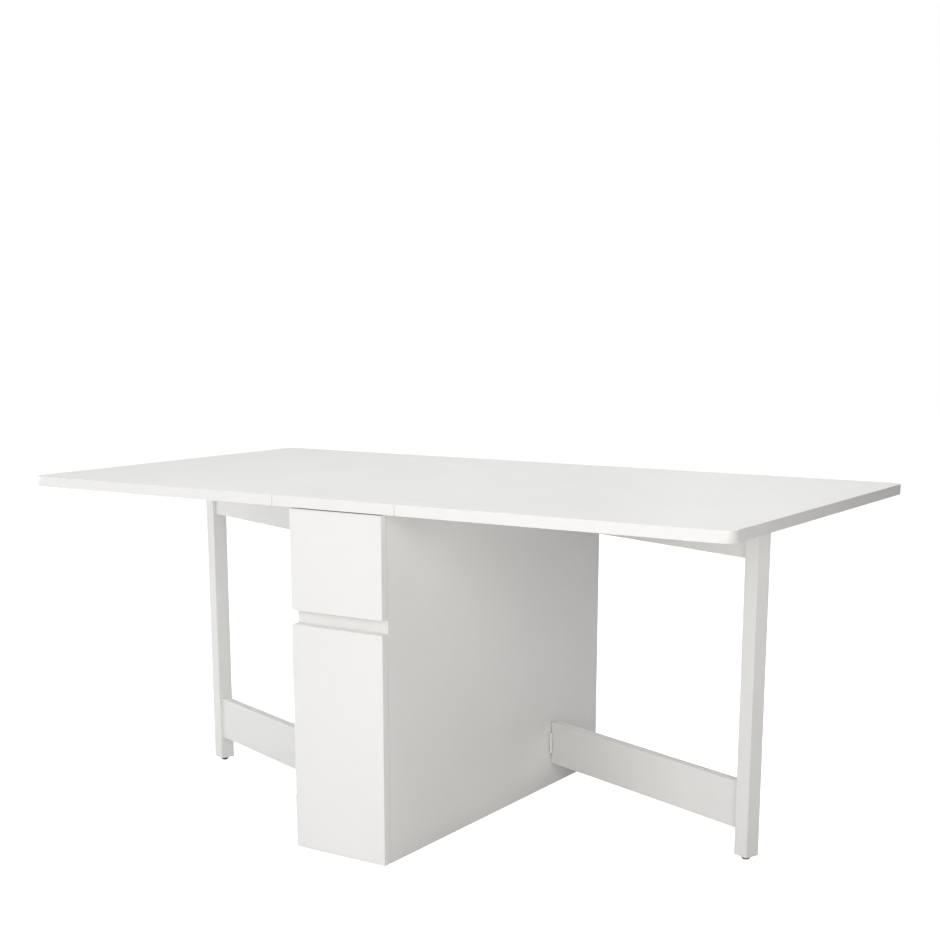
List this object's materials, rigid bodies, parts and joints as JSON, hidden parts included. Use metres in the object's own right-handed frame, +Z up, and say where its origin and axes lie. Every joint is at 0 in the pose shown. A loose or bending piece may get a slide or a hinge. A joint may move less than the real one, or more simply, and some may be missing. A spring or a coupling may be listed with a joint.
{
  "type": "gateleg table",
  "caption": "White gateleg table: a narrow cabinet with a drawer above a door carries the middle of the top, and a swinging gate on each side holds up a hinged leaf.",
  "frame": {"origin": "on the floor, under the middle of the top", "axes": "+Z up, X along the length of the top, the drawer and door face -Y"},
  "size_m": [1.68, 0.9, 0.74],
  "materials": {
    "white_board": "satin white melamine-faced particle board with white edging",
    "drawer_board": "plain white foil on thin board",
    "beech": "bare beech dowel",
    "steel": "zinc-plated steel",
    "white_steel": "steel with a white powder coat",
    "black_plastic": "black moulded plastic",
    "white_plastic": "white moulded plastic",
    "clear_bumper": "clear soft bumper"
  },
  "bodies": {
    "cabinet": {"top_center": "white_board", "side_right": "white_board", "side_left": "white_board", "back_panel": "white_board", "bottom_panel": "white_board", "middle_shelf": "white_board", "middle_rail": "white_board", "top_rails": "white_board", "adjustable_shelf": "white_board", "shelf_pins": "steel", "cabinet_glides": "white_plastic", "cam_locks": "steel", "cam_bolts": "steel", "cabinet_dowels": "beech", "top_screws": "steel", "runner_outer": "steel", "leaf_hinge_center_plates": "steel", "leaf_hinge_pins": "steel", "side_hinge_plates": "white_steel", "side_hinge_pins": "white_steel", "cabinet_screws": "steel", "door_catch": "white_plastic"},
    "right_leaf": {"leaf_right": "white_board", "leaf_hinge_plates_right": "steel", "leaf_screws_right": "steel", "stop_block_right": "white_board"},
    "right_gate": {"gate_post_right": "white_board", "gate_top_rail_right": "white_board", "gate_bottom_rail_right": "white_board", "gate_hinge_plates_right": "white_steel", "gate_screws_right": "steel", "gate_dowels_right": "beech", "gate_glide_right": "black_plastic", "gate_pad_right": "black_plastic"},
    "left_leaf": {"leaf_left": "white_board", "leaf_hinge_plates_left": "steel", "leaf_screws_left": "steel", "stop_block_left": "white_board"},
    "left_gate": {"gate_post_left": "white_board", "gate_top_rail_left": "white_board", "gate_bottom_rail_left": "white_board", "gate_hinge_plates_left": "white_steel", "gate_screws_left": "steel", "gate_dowels_left": "beech", "gate_glide_left": "black_plastic", "gate_pad_left": "black_plastic"},
    "drawer": {"drawer_front": "white_board", "drawer_sides": "drawer_board", "drawer_back": "drawer_board", "drawer_bottom": "drawer_board", "drawer_dowels": "beech", "drawer_screws": "steel", "runner_inner": "steel"},
    "runner_carriage": {"runner_middle": "steel"},
    "door": {"door_panel": "white_board", "door_hinge_plates": "white_steel", "door_screws": "steel", "catch_plate": "steel", "door_bumpers": "clear_bumper"}
  },
  "joints": [
    {"name": "right_gate_swing", "type": "hinge", "parent": "cabinet", "child": "right_gate", "pos_m": [0.117, 0.213, 0.35], "axis": [0, 0, 1], "range_deg": [-69.6, 0]},
    {"name": "left_gate_swing", "type": "hinge", "parent": "cabinet", "child": "left_gate", "pos_m": [-0.117, -0.213, 0.35], "axis": [0, 0, 1], "range_deg": [-69.6, 0]},
    {"name": "right_leaf_lift", "type": "hinge", "parent": "cabinet", "child": "right_leaf", "pos_m": [0.15, 0, 0.714], "axis": [0, -1, 0], "range_deg": [0, 2]},
    {"name": "left_leaf_lift", "type": "hinge", "parent": "cabinet", "child": "left_leaf", "pos_m": [-0.15, 0, 0.714], "axis": [0, 1, 0], "range_deg": [0, 2]},
    {"name": "drawer_slide", "type": "slide", "parent": "cabinet", "child": "drawer", "axis": [0, -1, 0], "range_m": [0, 0.38]},
    {"name": "runner_slide", "type": "slide", "parent": "cabinet", "child": "runner_carriage", "axis": [0, -1, 0], "range_m": [0, 0.19]},
    {"name": "door_swing", "type": "hinge", "parent": "cabinet", "child": "door", "pos_m": [-0.117, -0.423, 0.24], "axis": [0, 0, 1], "range_deg": [-110, 0]}
  ],
  "couplings": [
    {"joint": "runner_slide", "follows": "drawer_slide", "ratio": 0.5}
  ]
}
